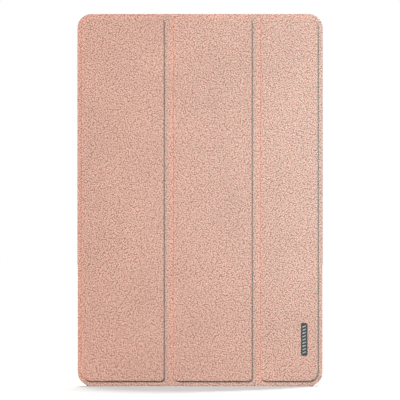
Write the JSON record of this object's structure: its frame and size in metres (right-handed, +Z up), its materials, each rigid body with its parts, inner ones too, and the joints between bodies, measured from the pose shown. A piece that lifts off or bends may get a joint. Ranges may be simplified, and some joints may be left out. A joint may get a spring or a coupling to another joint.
{
  "type": "tablet computer in a tri-fold folio case",
  "caption": "Slim tablet computer in a rose-gold leather-look tri-fold folio case, with a hinged stand cover, camera window, keys, card tray and charging port.",
  "frame": {"origin": "centre of the footprint, on the surface that the lower short edge of the closed case stands on", "axes": "+X towards the cover's free edge, -Y out of the front cover, +Y out of the back, +Z up along the long side"},
  "size_m": [0.171, 0.012, 0.2594],
  "materials": {
    "pu_leather": "fine pebbled, satin",
    "microfibre": "brushed",
    "case_polycarbonate": "satin",
    "fibreboard": "matt",
    "anodised_aluminium": "bead-blasted, anodised",
    "frame_aluminium": "machined",
    "stamped_steel": "satin",
    "neodymium": "nickel plated",
    "cover_glass": "polished",
    "display_glass": "polished",
    "diffuser_film": "satin",
    "adhesive_foam": "matt",
    "pouch_foil": "satin",
    "circuit_board": "solder mask",
    "flex_polyimide": "satin",
    "copper_foil": "satin",
    "black_polymer": "satin",
    "lens_glass": "polished",
    "flash_diffuser": "frosted",
    "seal_silicone": "matt",
    "badge_gloss": "gloss"
  },
  "bodies": {
    "tablet_and_shell": {"rear_shell": "case_polycarbonate", "back_skin": "pu_leather", "back_bend": "pu_leather", "rear_housing": "anodised_aluminium", "mid_frame": "frame_aluminium", "display_adhesive": "adhesive_foam", "cover_glass": "cover_glass", "lcd_panel": "display_glass", "backlight_unit": "diffuser_film", "battery_left": "pouch_foil", "battery_right": "pouch_foil", "battery_board": "circuit_board", "mainboard": "circuit_board", "shield_cans": "stamped_steel", "heat_spreader": "copper_foil", "hall_sensor": "black_polymer", "tablet_magnets": "neodymium", "card_reader": "stamped_steel", "rear_camera_module": "black_polymer", "camera_ring": "anodised_aluminium", "camera_glass": "lens_glass", "flash_lens": "flash_diffuser", "front_camera_module": "black_polymer", "usb_receptacle": "stamped_steel", "charge_board": "circuit_board", "charge_flex": "flex_polyimide", "display_flex": "flex_polyimide", "power_switch": "stamped_steel", "volume_switches": "stamped_steel", "antennas": "flex_polyimide", "microphones": "stamped_steel", "board_screws": "stamped_steel", "speaker_top_left": "black_polymer", "speaker_top_right": "black_polymer", "speaker_bottom_left": "black_polymer", "speaker_bottom_right": "black_polymer", "speaker_meshes": "stamped_steel"},
    "spine": {"spine_skin": "pu_leather", "spine_stiffener": "fibreboard", "spine_lining": "microfibre", "front_bend": "pu_leather"},
    "panel_1": {"panel_1_skin": "pu_leather", "panel_1_board": "fibreboard", "panel_1_lining": "microfibre", "stand_magnets": "neodymium"},
    "panel_2": {"panel_2_skin": "pu_leather", "panel_2_board": "fibreboard", "panel_2_lining": "microfibre"},
    "panel_3": {"panel_3_skin": "pu_leather", "panel_3_board": "fibreboard", "panel_3_lining": "microfibre", "closing_magnets": "neodymium", "sleep_magnet": "neodymium", "badge": "badge_gloss"},
    "power_key": {"power_key": "anodised_aluminium"},
    "volume_rocker": {"volume_rocker": "anodised_aluminium"},
    "card_tray": {"card_tray": "anodised_aluminium", "tray_seal": "seal_silicone"}
  },
  "joints": [
    {"name": "spine_fold", "type": "hinge", "parent": "tablet_and_shell", "child": "spine", "pos_m": [-0.0846, 0.00505, 0.1297], "axis": [0, 0, -1], "range_deg": [0, 180]},
    {"name": "cover_fold", "type": "hinge", "parent": "spine", "child": "panel_1", "pos_m": [-0.0846, -0.00405, 0.1297], "axis": [0, 0, -1], "range_deg": [0, 180]},
    {"name": "fold_1", "type": "hinge", "parent": "panel_1", "child": "panel_2", "pos_m": [-0.0216, -0.00615, 0.1297], "axis": [0, 0, 1], "range_deg": [-180, 0]},
    {"name": "fold_2", "type": "hinge", "parent": "panel_2", "child": "panel_3", "pos_m": [0.0394, -0.00615, 0.1297], "axis": [0, 0, -1], "range_deg": [0, 180]},
    {"name": "power_press", "type": "slide", "parent": "tablet_and_shell", "child": "power_key", "axis": [0, 0, -1], "range_m": [0, 0.0003], "stiffness_N_per_m": 6000, "springref_m": -0.0001},
    {"name": "volume_rock", "type": "hinge", "parent": "tablet_and_shell", "child": "volume_rocker", "pos_m": [0.08195, 0.00108, 0.2177], "axis": [0, 1, 0], "range_deg": [-1.1, 1.1], "stiffness_Nm_per_rad": 0.7},
    {"name": "tray_slide", "type": "slide", "parent": "tablet_and_shell", "child": "card_tray", "axis": [0, 0, 1], "range_m": [0, 0.018]}
  ]
}
